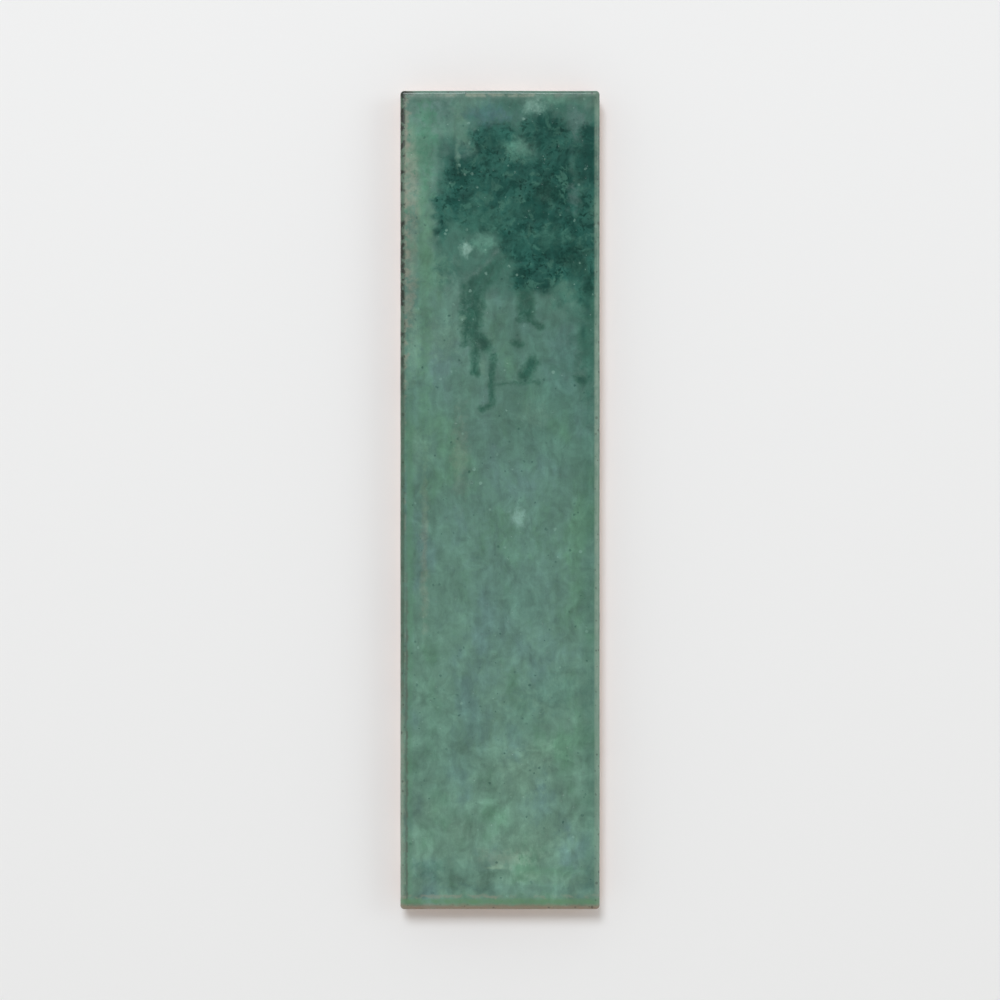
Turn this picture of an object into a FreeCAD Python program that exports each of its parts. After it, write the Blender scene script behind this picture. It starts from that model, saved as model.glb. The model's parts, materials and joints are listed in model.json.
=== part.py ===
"""Glazed ceramic wall tile, 60 x 246 x 9 mm, one dry-pressed and fired piece.

It lies on its back with the glazed face up: X is the width, Y the length, Z the
thickness, and the origin is at the centre of the back. Millimetres and degrees.
"""
import FreeCAD
import Part
import Sketcher

import math
import os
from FreeCAD import Vector

# Driving dimensions, each written once
SIZES = {
    # The format, and how thick such a wall tile is pressed
    "tile_length": 246.0,
    "tile_width": 60.0,
    "tile_thick": 9.0,
    # Upright corners of the outline, and the soft rim of the glazed face
    "corner_round": 1.2,
    "rim_round": 1.2,
    # The upper die leaves an upright collar, and below it the flank draws in
    "collar_depth": 3.2,
    "flank_taper": 2.5,
    "foot_chamfer": 0.5,
    # Waffle back that keys into the adhesive: square cells with cut corners between ribs
    "back_border": 3.4,
    "cell_size": 11.3,
    "rib_width": 2.0,
    "cell_depth": 0.8,
    "cell_corner": 1.6,
    "cell_taper": 25.0,
}

# Sizes that follow from the driving ones, as formulas of the same sheet
WORKED_OUT = {
    "collar_plane": "=tile_thick - collar_depth",
    "back_inset": "=collar_plane * tan(flank_taper) + foot_chamfer",
    "cell_pitch": "=cell_size + rib_width",
    "cells_across": "=floor((tile_width - 2 * (back_inset + back_border) + rib_width) / cell_pitch)",
    "cells_along": "=floor((tile_length - 2 * (back_inset + back_border) + rib_width) / cell_pitch)",
    "cells_span_x": "=(cells_across - 1) * cell_pitch",
    "cells_span_y": "=(cells_along - 1) * cell_pitch",
    "first_cell_x": "=-cells_span_x / 2",
    "first_cell_y": "=-cells_span_y / 2",
}

# A sketch's own axes, as its constraints number them
H_AXIS = -1
V_AXIS = -2
# How near an edge lies to its plane in mm, and how near the cells' cut comes to its formula
ON_PLANE = 0.001
CUT_ERROR = 0.01


def make_sheet(doc):
    """Write every size into the sheet, one aliased row each."""
    sheet = doc.addObject("Spreadsheet::Sheet", "sizes")
    rows = {name: str(value) for name, value in SIZES.items()}
    rows.update(WORKED_OUT)
    for row, (name, content) in enumerate(rows.items(), start=1):
        sheet.set(f"A{row}", name)
        sheet.set(f"B{row}", content)
        sheet.setAlias(f"B{row}", name)
    doc.recompute()
    return sheet


def bind(feature, bindings):
    """Tie each named property of a feature to a formula of the sheet."""
    for path, formula in bindings.items():
        feature.setExpression(path, formula)


def origin_plane(body, role):
    """One of the body's own origin planes."""
    return next(item for item in body.Origin.OriginFeatures if item.Role == role)


def level_sketch(body, name, offset):
    """A sketch across Z, shifted from the body's origin by sizes of the sheet."""
    sketch = body.newObject("Sketcher::SketchObject", name)
    sketch.AttachmentSupport = [(origin_plane(body, "XY_Plane"), "")]
    sketch.MapMode = "FlatFace"
    bind(sketch, {f"AttachmentOffset.Base.{axis}": f"sizes.{size}" for axis, size in offset.items()})
    return sketch


def bind_constraints(sketch, named):
    """Add each named dimension to the sketch and tie it to its size in the sheet."""
    for label, constraint, size in named:
        index = sketch.addConstraint(constraint)
        sketch.renameConstraint(index, label)
        sketch.setExpression(f"Constraints.{label}", f"sizes.{size}")


def rounded_rectangle(body, sheet, name, width, length, radius, offset):
    """A sketch across Z: a rounded rectangle centred on the sketch's own origin.

    width, length, radius and the offset's parts are names of sizes in the sheet.
    """
    sketch = level_sketch(body, name, offset)
    half_x = getattr(sheet, width) / 2
    half_y = getattr(sheet, length) / 2
    r = getattr(sheet, radius)
    quarter = math.pi / 2
    corners = [(1, 1), (-1, 1), (-1, -1), (1, -1)]
    arcs = []
    for turn, (side_x, side_y) in enumerate(corners):
        centre = Vector(side_x * (half_x - r), side_y * (half_y - r), 0)
        circle = Part.Circle(centre, Vector(0, 0, 1), r)
        arcs.append(sketch.addGeometry(Part.ArcOfCircle(circle, turn * quarter, (turn + 1) * quarter)))
    sides = []
    for arc, following in zip(arcs, arcs[1:] + arcs[:1]):
        start = sketch.getPoint(arc, 2)
        end = sketch.getPoint(following, 1)
        side = sketch.addGeometry(Part.LineSegment(start, end))
        sketch.addConstraint(Sketcher.Constraint("Tangent", arc, 2, side, 1))
        sketch.addConstraint(Sketcher.Constraint("Tangent", side, 2, following, 1))
        sides.append(side)
    top, left, bottom, right = sides
    for level in (top, bottom):
        sketch.addConstraint(Sketcher.Constraint("Horizontal", level))
    for arc in arcs[1:]:
        sketch.addConstraint(Sketcher.Constraint("Equal", arcs[0], arc))
    # Opposite corner centres mirror each other about the sketch's origin
    sketch.addConstraint(Sketcher.Constraint("Symmetric", arcs[0], 3, arcs[2], 3, H_AXIS, 1))
    bind_constraints(sketch, [
        ("radius", Sketcher.Constraint("Radius", arcs[0], r), radius),
        ("width", Sketcher.Constraint("DistanceX", left, 1, right, 1, 2 * half_x), width),
        ("length", Sketcher.Constraint("DistanceY", bottom, 1, top, 1, 2 * half_y), length),
    ])
    return sketch


def cut_corner_square(body, sheet, name, side, corner, offset):
    """A sketch across Z: a square with its corners cut at 45 degrees, centred as above."""
    sketch = level_sketch(body, name, offset)
    far = getattr(sheet, side) / 2
    near = far - getattr(sheet, corner)
    # Anticlockwise from the lower end of the right side
    ends = [(far, -near), (far, near), (near, far), (-near, far),
            (-far, near), (-far, -near), (-near, -far), (near, -far)]
    points = [Vector(x, y, 0) for x, y in ends]
    lines = []
    for start, end in zip(points, points[1:] + points[:1]):
        lines.append(sketch.addGeometry(Part.LineSegment(start, end)))
    for line, following in zip(lines, lines[1:] + lines[:1]):
        sketch.addConstraint(Sketcher.Constraint("Coincident", line, 2, following, 1))
    right, upper_right, top, upper_left, left, lower_left, bottom, lower_right = lines
    # Each end mirrors on the upright axis, and the right half on the level one too
    for one, other in ((right, lower_left), (upper_right, left), (top, upper_left), (lower_right, bottom)):
        sketch.addConstraint(Sketcher.Constraint("Symmetric", one, 1, other, 1, V_AXIS))
    for one, other in ((right, upper_right), (top, lower_right)):
        sketch.addConstraint(Sketcher.Constraint("Symmetric", one, 1, other, 1, H_AXIS))
    bind_constraints(sketch, [
        ("width", Sketcher.Constraint("DistanceX", left, 1, right, 1, 2 * far), side),
        ("length", Sketcher.Constraint("DistanceY", bottom, 1, top, 1, 2 * far), side),
        ("cut_x", Sketcher.Constraint("DistanceX", upper_right, 2, upper_right, 1, far - near), corner),
        ("cut_y", Sketcher.Constraint("DistanceY", upper_right, 1, upper_right, 2, far - near), corner),
    ])
    return sketch


def edges_at(feature, height):
    """Names of the feature's edges that lie flat at one height."""
    names = []
    for number, edge in enumerate(feature.Shape.Edges, start=1):
        box = edge.BoundBox
        if abs(box.ZMin - height) < ON_PLANE and abs(box.ZMax - height) < ON_PLANE:
            names.append(f"Edge{number}")
    return names


def make_tile(doc, sheet):
    """The whole piece: collar, drawn-in flank, soft rim, foot chamfer, waffle back."""
    body = doc.addObject("PartDesign::Body", "wall_tile")
    body.Label = "wall_tile"

    # Upright collar below the glazed face, and the flank that draws in below it
    outline = rounded_rectangle(
        body, sheet, "outline", "tile_width", "tile_length", "corner_round", {"z": "collar_plane"})
    collar = body.newObject("PartDesign::Pad", "collar")
    collar.Profile = outline
    bind(collar, {"Length": "sizes.collar_depth"})
    flank = body.newObject("PartDesign::Pad", "flank")
    flank.Profile = outline
    flank.Reversed = True
    bind(flank, {"Length": "sizes.collar_plane", "TaperAngle": "-sizes.flank_taper"})
    doc.recompute()

    # Soft rim round the glazed face, small chamfer round the foot
    rim = body.newObject("PartDesign::Fillet", "rim")
    rim.Base = (flank, edges_at(flank, sheet.tile_thick))
    bind(rim, {"Radius": "sizes.rim_round"})
    doc.recompute()
    foot = body.newObject("PartDesign::Chamfer", "foot")
    foot.Base = (rim, edges_at(rim, 0.0))
    bind(foot, {"Size": "sizes.foot_chamfer"})
    doc.recompute()

    # One cell of the waffle back, then its rows and columns
    cell_outline = cut_corner_square(
        body, sheet, "cell_outline", "cell_size", "cell_corner",
        {"x": "first_cell_x", "y": "first_cell_y"})
    cell = body.newObject("PartDesign::Pocket", "cell")
    cell.Profile = cell_outline
    cell.Reversed = True
    bind(cell, {"Length": "sizes.cell_depth", "TaperAngle": "-sizes.cell_taper"})
    doc.recompute()
    waffle = body.newObject("PartDesign::LinearPattern", "waffle_back")
    waffle.Originals = [cell]
    waffle.Direction = (cell_outline, ["H_Axis"])
    waffle.Direction2 = (cell_outline, ["V_Axis"])
    bind(waffle, {
        "Length": "sizes.cells_span_x",
        "Length2": "sizes.cells_span_y",
        "Occurrences": "sizes.cells_across",
        "Occurrences2": "sizes.cells_along",
    })
    body.Tip = waffle
    doc.recompute()
    return body


def cells_volume(sheet):
    """What all the cells should take out: their mean area times their depth."""
    draw = sheet.cell_depth * math.tan(math.radians(sheet.cell_taper))
    # Drawing in all eight walls by the same amount shortens each corner cut's leg
    floor_corner = sheet.cell_corner - (2 - math.sqrt(2)) * draw
    mouth = sheet.cell_size ** 2 - 2 * sheet.cell_corner ** 2
    floor = (sheet.cell_size - 2 * draw) ** 2 - 2 * floor_corner ** 2
    return sheet.cells_across * sheet.cells_along * sheet.cell_depth * (mouth + floor) / 2


def check(doc, body, sheet):
    """Stop if a feature failed, the shape is not sound, or a cell is missing."""
    for item in doc.Objects:
        bad = [word for word in item.State if word in ("Invalid", "Error")]
        if bad:
            raise RuntimeError(f"{item.Name} failed: {bad}")
    shape = body.Shape
    if shape.isNull() or not shape.isValid() or len(shape.Solids) != 1:
        raise RuntimeError("wall_tile is not one valid solid")
    removed = doc.getObject("foot").Shape.Volume - shape.Volume
    expected = cells_volume(sheet)
    print(f"cells {sheet.cells_across} x {sheet.cells_along}: cut {removed:.0f} of {expected:.0f} mm3")
    if abs(removed - expected) > CUT_ERROR * expected:
        raise RuntimeError("the waffle back is not cut as drawn")
    box = shape.BoundBox
    print(f"wall_tile {box.XLength:.2f} x {box.YLength:.2f} x {box.ZLength:.2f} mm, {shape.Volume:.0f} mm3")


def main():
    doc = FreeCAD.newDocument("wall_tile_part")
    sheet = make_sheet(doc)
    tile = make_tile(doc, sheet)
    check(doc, tile, sheet)
    os.makedirs("parts", exist_ok=True)
    tile.Shape.exportStep(f"parts/{tile.Label}.step")


main()
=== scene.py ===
# %% [markdown]
# # A glazed wall tile
#
# The object is one wall tile: a slab of pinkish clay, pressed in a steel die, glazed and
# fired. The glaze is a sage green that broke and ran: a dark teal pool near the top lets go
# of a few drips, the rims are thin and brownish, and the back is bare clay with a waffle.
#
# The fixed frame holds the pressed body at its real size. Everything here is in metres and in
# that frame, so the lesson only adds what the kiln did: ripples, the edge of the glaze, colour.

# %% Load the fixed frame
import json
import math

import bpy
import numpy as np
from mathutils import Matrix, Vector

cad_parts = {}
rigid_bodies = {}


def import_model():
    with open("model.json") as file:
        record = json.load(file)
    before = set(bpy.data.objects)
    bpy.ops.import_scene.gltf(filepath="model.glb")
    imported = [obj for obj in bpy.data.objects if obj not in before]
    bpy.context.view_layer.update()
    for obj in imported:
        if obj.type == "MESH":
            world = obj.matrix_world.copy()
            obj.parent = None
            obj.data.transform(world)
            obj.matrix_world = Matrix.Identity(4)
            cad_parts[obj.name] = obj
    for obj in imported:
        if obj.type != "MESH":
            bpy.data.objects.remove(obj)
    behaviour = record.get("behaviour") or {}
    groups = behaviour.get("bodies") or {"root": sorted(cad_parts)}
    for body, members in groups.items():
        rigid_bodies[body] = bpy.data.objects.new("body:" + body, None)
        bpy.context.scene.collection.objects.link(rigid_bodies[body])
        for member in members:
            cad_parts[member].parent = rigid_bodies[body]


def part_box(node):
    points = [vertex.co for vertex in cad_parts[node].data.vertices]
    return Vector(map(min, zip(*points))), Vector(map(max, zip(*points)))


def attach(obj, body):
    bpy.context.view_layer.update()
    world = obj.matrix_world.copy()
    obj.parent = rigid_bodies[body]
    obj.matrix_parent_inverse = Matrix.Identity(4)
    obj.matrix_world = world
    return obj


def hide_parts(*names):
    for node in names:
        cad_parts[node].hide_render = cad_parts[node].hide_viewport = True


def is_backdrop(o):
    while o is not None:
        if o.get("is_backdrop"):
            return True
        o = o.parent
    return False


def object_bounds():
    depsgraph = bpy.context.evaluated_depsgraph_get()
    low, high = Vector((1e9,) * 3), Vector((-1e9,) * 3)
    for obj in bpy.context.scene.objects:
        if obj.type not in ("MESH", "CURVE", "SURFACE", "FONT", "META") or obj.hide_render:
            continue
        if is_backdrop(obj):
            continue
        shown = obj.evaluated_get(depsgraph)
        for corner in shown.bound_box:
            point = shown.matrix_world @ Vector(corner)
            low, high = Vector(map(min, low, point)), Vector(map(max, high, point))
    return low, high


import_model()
cad_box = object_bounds()
tile_low, tile_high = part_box("wall_tile")
tile_width, tile_length, tile_thick = tile_high - tile_low
MM = 0.001
print(f"tile {tile_width / MM:.1f} x {tile_length / MM:.1f} x {tile_thick / MM:.1f} mm")

# %% [markdown]
# ## A short hand for nodes
#
# Shapes and colours below come from node trees. Adding nodes one by one is wordy, so a small
# class takes numbers and sockets alike. It serves both kinds of tree, and that is the point:
# the same recipe for the glaze's flow can move the surface and colour it, and the two agree.
# The class grows in four short cells: nodes, sums, places, and last patterns and colours.

# %% A helper that adds nodes
class Nodes:
    """Adds nodes to one tree. Every value may be a number, a tuple or another node's socket."""

    def __init__(self, tree):
        self.tree = tree

    def give(self, socket, value):
        if isinstance(value, bpy.types.NodeSocket):
            self.tree.links.new(value, socket)
        else:
            socket.default_value = value

    def add(self, kind, inputs=None, **settings):
        node = self.tree.nodes.new(kind)
        for name, value in settings.items():
            setattr(node, name, value)
        for name, value in (inputs or {}).items():
            self.give(node.inputs[name], value)
        return node

    def group(self, tree, inputs):
        """What another tree gives back for some inputs."""
        node = self.add("ShaderNodeGroup" if tree.type == "SHADER" else "GeometryNodeGroup")
        node.node_tree = tree
        for name, value in inputs.items():
            self.give(node.inputs[name], value)
        return node.outputs


# %% Sums
class Sums(Nodes):
    """Arithmetic on single numbers.

    A limit is set with a Clamp node and not with a Math node's tick box: the renderer adds its
    own node at the end for each tick, and a large material then overfills its store.
    """

    def math(self, operation, first, second=0, third=0):
        inputs = {0: first, 1: second, 2: third}
        return self.add("ShaderNodeMath", inputs, operation=operation).outputs[0]

    def plus(self, first, *others):
        for other in others:
            first = self.math("ADD", first, other)
        return first

    def less(self, first, second):
        return self.math("SUBTRACT", first, second)

    def apart(self, first, second):
        """How far two numbers are from each other."""
        return self.math("ABSOLUTE", self.less(first, second))

    def times(self, first, *others):
        for other in others:
            first = self.math("MULTIPLY", first, other)
        return first

    def either(self, first, *others):
        for other in others:
            first = self.math("MAXIMUM", first, other)
        return first

    def rest(self, mask):
        """What a mask leaves over."""
        return self.less(1, mask)

    def blend(self, share, first, second):
        """One number going over into another."""
        return self.plus(self.times(share, second), self.times(self.rest(share), first))

    def held(self, value, low=0, high=1):
        """A value kept between two others."""
        inputs = {"Value": value, "Min": low, "Max": high}
        return self.add("ShaderNodeClamp", inputs, clamp_type="RANGE").outputs[0]


# %% Places and directions
class Places(Sums):
    """Arithmetic on places and directions, which have three parts."""

    def vector(self, operation, first, second=(0, 0, 0)):
        inputs = {0: first, 1: second}
        return self.add("ShaderNodeVectorMath", inputs, operation=operation).outputs["Vector"]

    def measure(self, operation, first, second=(0, 0, 0)):
        """DOT_PRODUCT, LENGTH or DISTANCE."""
        inputs = {0: first, 1: second}
        return self.add("ShaderNodeVectorMath", inputs, operation=operation).outputs["Value"]

    def part(self, vector, axis):
        return self.add("ShaderNodeSeparateXYZ", {0: vector}).outputs[axis]

    def scaled(self, vector, amount):
        inputs = {0: vector, "Scale": amount}
        return self.add("ShaderNodeVectorMath", inputs, operation="SCALE").outputs["Vector"]

    def stretched(self, place, x, y, z):
        return self.vector("MULTIPLY", place, (x, y, z))

    def shifted(self, place, x, y, z):
        return self.vector("ADD", place, (x, y, z))

    def flat(self, place):
        """A place without its height, so that a pattern runs straight down the sides."""
        return self.stretched(place, 1, 1, 0)


# %% Patterns and colours
class Recipe(Places):
    """Noise, soft steps and mixed colours, which is all that the finishes are made of."""

    def noise(self, place, size, detail=2, roughness=0.5, colour=False):
        """Soft noise whose lumps are about `size` across, in the units of place."""
        inputs = {"Vector": place, "Scale": 1 / size, "Detail": detail, "Roughness": roughness}
        node = self.add("ShaderNodeTexNoise", inputs, noise_dimensions="3D")
        return node.outputs["Color" if colour else "Fac"]

    def ramp(self, value, start, end, low=0, high=1):
        """A soft step from low to high as value goes from start to end."""
        inputs = {"Value": value, "From Min": start, "From Max": end, "To Min": low, "To Max": high}
        node = self.add("ShaderNodeMapRange", inputs, interpolation_type="SMOOTHSTEP", clamp=False)
        return node.outputs["Result"]

    def slope(self, value, start, end, low, high):
        """A straight ramp, held at both ends."""
        inputs = {"Value": value, "From Min": start, "From Max": end, "To Min": low, "To Max": high}
        straight = self.add("ShaderNodeMapRange", inputs, clamp=False).outputs["Result"]
        return self.held(straight, low, high)

    def mix(self, share, first, second):
        """One colour going over into another."""
        node = self.add("ShaderNodeMix", data_type="RGBA", clamp_factor=True)
        sockets = {socket.identifier: socket for socket in node.inputs}
        self.give(sockets["Factor_Float"], share)
        self.give(sockets["A_Color"], first)
        self.give(sockets["B_Color"], second)
        return next(socket for socket in node.outputs if socket.identifier == "Result_Color")


# %% A new tree with named sockets
SOCKETS = {
    "float": "NodeSocketFloat", "int": "NodeSocketInt", "vector": "NodeSocketVector",
    "colour": "NodeSocketColor", "geometry": "NodeSocketGeometry", "material": "NodeSocketMaterial",
}


def new_tree(name, kind, inputs, outputs):
    """A node tree with named sockets: its Recipe, what it is given and what it gives back."""
    tree = bpy.data.node_groups.new(name, kind)
    for label, sort in inputs.items():
        tree.interface.new_socket(label, in_out="INPUT", socket_type=SOCKETS[sort])
    for label, sort in outputs.items():
        tree.interface.new_socket(label, in_out="OUTPUT", socket_type=SOCKETS[sort])
    n = Recipe(tree)
    return n, n.add("NodeGroupInput").outputs, n.add("NodeGroupOutput").inputs


# %% Colours as a screen shows them
def screen(red, green, blue):
    """A colour as read off a screen, 0 to 255, turned into the linear one that light uses."""
    parts = []
    for value in (red, green, blue):
        share = value / 255
        parts.append(share / 12.92 if share <= 0.04045 else ((share + 0.055) / 1.055) ** 2.4)
    return (*parts, 1)


print(f"a screen's middle grey, 128, is {screen(128, 128, 128)[0]:.3f} of white in light")

# %% [markdown]
# ## The pressed body
#
# A press leaves a plain form: a flat face, a soft rim, an upright collar, and a flank that
# draws in so that the piece leaves the die. A box with a bevel would give that outline, but
# the kiln's ripples need many evenly spread points. So the face is a fine grid, and from its
# border one section is carried round the outline, ring by ring. The corners fan out from the
# grid's own corners, because there the rim's radius and the outline's radius are the same.

# %% Sizes of the pressed form
ROUND = 1.2 * MM
COLLAR_DEPTH = 3.2 * MM
FLANK_DRAW = math.radians(2.5)
FOOT_CHAMFER = 0.5 * MM
MESH_STEP = 0.58 * MM
GLAZE_STEP = 0.22 * MM
RIM_STEPS = 8
FAN_STEPS = 6
FLANK_STEPS = 7
GLAZE_REACH = 4.6 * MM

collar_plane = tile_thick - COLLAR_DEPTH
face_half_x = tile_width / 2 - ROUND
face_half_y = tile_length / 2 - ROUND
columns = round(2 * face_half_x / MESH_STEP)
rows = round(2 * face_half_y / MESH_STEP)
print(f"face grid {columns} x {rows}")


# %% The section from the face down to the foot
def outset_at(height):
    """How far the flank stands out from the flat of the face, at one height."""
    return ROUND - max(0, collar_plane - height) * math.tan(FLANK_DRAW)


def flank_section():
    """Pairs of outset and height: the rim's quarter turn, the collar and flank, the foot."""
    section = []
    for step in range(1, RIM_STEPS + 1):
        turn = math.radians(90) * step / RIM_STEPS
        section.append((ROUND * math.sin(turn), tile_thick - ROUND * (1 - math.cos(turn))))
    rim_foot = tile_thick - ROUND
    fine = round((rim_foot - GLAZE_REACH) / GLAZE_STEP)
    heights = list(np.linspace(rim_foot, GLAZE_REACH, fine + 1)[1:])
    heights += list(np.linspace(GLAZE_REACH, FOOT_CHAMFER, FLANK_STEPS + 1)[1:])
    section += [(outset_at(height), height) for height in heights]
    section.append((outset_at(0) - FOOT_CHAMFER, 0))
    return section


section = flank_section()
print(f"section of {len(section)} steps, {section[-1][0] / MM:.2f} mm out at the foot")


# %% The face as a fine grid
def face_grid(xs, ys):
    """Points and squares of the flat of the face."""
    points = [(x, y, tile_thick) for y in ys for x in xs]
    wide = len(xs)
    faces = []
    for j in range(len(ys) - 1):
        for i in range(wide - 1):
            low = j * wide + i
            faces.append((low, low + 1, low + wide + 1, low + wide))
    return points, faces


# %% The walk round its border
def border_walk():
    """The face's border, anticlockwise: each entry is a grid point and the way out from it."""
    across = range(columns + 1)
    along = range(rows + 1)
    sides = [
        ([(i, 0) for i in across], -90),
        ([(columns, j) for j in along], 0),
        ([(i, rows) for i in reversed(across)], 90),
        ([(0, j) for j in reversed(along)], 180),
    ]
    walk = []
    for points, heading in sides:
        walk += [(point, heading) for point in points]
        walk += [(points[-1], heading + 90 * step / FAN_STEPS) for step in range(1, FAN_STEPS)]
    return walk


# %% Rings from the border down to the foot
def pressed_mesh():
    """The body without its back, as one mesh whose only open edge is the foot."""
    xs = np.linspace(-face_half_x, face_half_x, columns + 1)
    ys = np.linspace(-face_half_y, face_half_y, rows + 1)
    points, faces = face_grid(xs, ys)
    walk = border_walk()
    inner = [j * len(xs) + i for (i, j), heading in walk]
    for outset, height in section:
        outer = []
        for (i, j), heading in walk:
            way = math.radians(heading)
            outer.append(len(points))
            points.append((xs[i] + outset * math.cos(way), ys[j] + outset * math.sin(way), height))
        for k in range(len(walk)):
            after = (k + 1) % len(walk)
            ring = (inner[k], outer[k], outer[after], inner[after])
            faces.append(ring[:3] if inner[k] == inner[after] else ring)
        inner = outer
    mesh = bpy.data.meshes.new("glazed_tile")
    mesh.from_pydata(points, [], faces)
    mesh.update()
    return mesh


tile = bpy.data.objects.new("glazed_tile", pressed_mesh())
bpy.context.scene.collection.objects.link(tile)
print(f"pressed body: {len(tile.data.vertices)} points, {len(tile.data.polygons)} faces")

# %% [markdown]
# ## The waffle back
#
# Adhesive needs something to grip, so the lower die leaves a grid of shallow cells between
# ribs. They all have one shape and follow a rule, which is what Geometry Nodes are for: one
# cell is drawn as a curve, set on a grid of points, and the land between the cells is the
# border and all the cells' mouths filled in as one flat face with holes. The same curve,
# filled and pushed up twice, makes the bowl. Merging the points joins land, bowls and foot.

# %% Sizes of the waffle
CELL_SIDE = 11.3 * MM
RIB_WIDTH = 2 * MM
CELL_DEPTH = 0.8 * MM
CELL_ROUND = 2.2 * MM
CELL_DRAW = math.radians(25)
BACK_BORDER = 3.4 * MM
ROUND_STEPS = 5
JOIN_DISTANCE = 0.002 * MM

cell_pitch = CELL_SIDE + RIB_WIDTH
back_inset = ROUND - section[-1][0]


def cells_that_fit(side):
    """How many cells fit between the borders of a side."""
    return math.floor((side - 2 * (back_inset + BACK_BORDER) + RIB_WIDTH) / cell_pitch)


cells_across = cells_that_fit(tile_width)
cells_along = cells_that_fit(tile_length)
print(f"waffle of {cells_across} x {cells_along} cells")


# %% Joining pieces of geometry
def joined(n, *parts):
    """Several geometries as one."""
    together = n.add("GeometryNodeJoinGeometry")
    for part in parts:
        n.give(together.inputs[0], part)
    return together.outputs[0]


def real(n, geometry):
    """A geometry whose instances have become its own points and faces."""
    return n.add("GeometryNodeRealizeInstances", {0: geometry}).outputs[0]


def set_on(n, spots, piece):
    """A piece set on every spot."""
    return n.add("GeometryNodeInstanceOnPoints", {"Points": spots, "Instance": piece}).outputs[0]


# %% The outlines of the land: the foot, and one cell's mouth
def foot_outline(n, body):
    """The foot is the body's only open edge: the only one with a single face."""
    neighbours = n.add("GeometryNodeInputMeshEdgeNeighbors").outputs["Face Count"]
    is_open = n.add("FunctionNodeCompare", data_type="INT", operation="EQUAL")
    ints = {socket.identifier: socket for socket in is_open.inputs}
    n.give(ints["A_INT"], neighbours)
    n.give(ints["B_INT"], 1)
    inputs = {"Mesh": body, "Selection": is_open.outputs[0]}
    return n.add("GeometryNodeMeshToCurve", inputs).outputs["Curve"]


def cell_mouth(n, side, corner):
    """A square with round corners."""
    inputs = {"Width": side, "Height": side}
    square = n.add("GeometryNodeCurvePrimitiveQuadrilateral", inputs).outputs["Curve"]
    inputs = {"Curve": square, "Radius": corner, "Count": ROUND_STEPS}
    return n.add("GeometryNodeFilletCurve", inputs, mode="POLY").outputs["Curve"]


def cell_spots(n, across, along, pitch):
    """A point for each cell, on a grid about the tile's middle."""
    inputs = {"Size X": n.times(n.less(across, 1), pitch), "Vertices X": across,
              "Size Y": n.times(n.less(along, 1), pitch), "Vertices Y": along}
    return n.add("GeometryNodeMeshGrid", inputs).outputs["Mesh"]


# %% The bowl of a cell
# Each step is its share of the depth, and how much softer than the draw its walls lie
BOWL_STEPS = ((0.75, 1), (0.25, 2.2))


def cell_bowl(n, mouth, side, depth, draw):
    """The mouth filled, then pushed up and drawn in step by step."""
    bowl = n.add("GeometryNodeFillCurve", {"Curve": mouth}, mode="NGONS").outputs["Mesh"]
    up = n.add("ShaderNodeCombineXYZ", {"Z": 1}).outputs[0]
    for share, softness in BOWL_STEPS:
        rise = n.times(depth, share)
        inputs = {"Mesh": bowl, "Offset": up, "Offset Scale": rise, "Individual": True}
        pushed = n.add("GeometryNodeExtrudeMesh", inputs, mode="FACES").outputs
        narrower = n.times(n.math("TANGENT", draw), rise, 2 * softness)
        size = n.less(1, n.math("DIVIDE", narrower, side))
        inputs = {"Geometry": pushed["Mesh"], "Selection": pushed["Top"], "Scale": size}
        bowl = n.add("GeometryNodeScaleElements", inputs, domain="FACE").outputs[0]
    return bowl


# %% The foot's chamfer
# It lies below this share of a cell's depth, and its normal points down by more than this
CHAMFER_SHARE = 1.2
DOWNWARDS = -0.2


def bare_chamfer(n, body, depth, finish):
    """The chamfer faces down too, and is as bare as the back."""
    position = n.add("GeometryNodeInputPosition").outputs[0]
    normal = n.add("GeometryNodeInputNormal").outputs[0]
    is_low = n.math("LESS_THAN", n.part(position, "Z"), n.times(depth, CHAMFER_SHARE))
    is_down = n.math("LESS_THAN", n.part(normal, "Z"), DOWNWARDS)
    inputs = {"Geometry": real(n, body), "Selection": n.times(is_low, is_down), "Material": finish}
    return n.add("GeometryNodeSetMaterial", inputs).outputs[0]


# %% The tree that makes the back
def waffle_tree():
    """The land between the cells and the bowls in them, joined to the body's foot."""
    n, given, result = new_tree(
        "waffle_back", "GeometryNodeTree",
        {"Body": "geometry", "Cell side": "float", "Pitch": "float", "Cells across": "int",
         "Cells along": "int", "Depth": "float", "Round": "float", "Draw": "float",
         "Finish": "material"},
        {"Geometry": "geometry"})
    mouth = cell_mouth(n, given["Cell side"], given["Round"])
    spots = cell_spots(n, given["Cells across"], given["Cells along"], given["Pitch"])
    outlines = real(n, joined(n, foot_outline(n, given["Body"]), set_on(n, spots, mouth)))
    land = n.add("GeometryNodeFillCurve", {"Curve": outlines}, mode="TRIANGLES").outputs["Mesh"]
    bowl = cell_bowl(n, mouth, given["Cell side"], given["Depth"], given["Draw"])
    upwards = joined(n, land, set_on(n, spots, bowl))
    back = n.add("GeometryNodeFlipFaces", {"Mesh": upwards}).outputs[0]
    bare = n.add("GeometryNodeSetMaterial", {"Geometry": back, "Material": given["Finish"]}).outputs[0]
    inputs = {"Geometry": real(n, joined(n, given["Body"], bare)), "Distance": JOIN_DISTANCE}
    closed = n.add("GeometryNodeMergeByDistance", inputs).outputs[0]
    n.give(result["Geometry"], bare_chamfer(n, closed, given["Depth"], given["Finish"]))
    return n.tree


# %% [markdown]
# ## Where the glaze went
#
# The glaze was laid on thick near the top. There it pooled in dark teal, thinned to a wash
# below, and let go of a few drips. Paint alone would do for one view, but thick glaze also
# swells, so the flow is a rule that shape and colour share: strokes with round ends, melted
# together and pushed about by noise until the outline is as ragged as glaze that ran. The
# rule puts out depths in mm, above zero inside, and each finish decides how soft to be.

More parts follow.
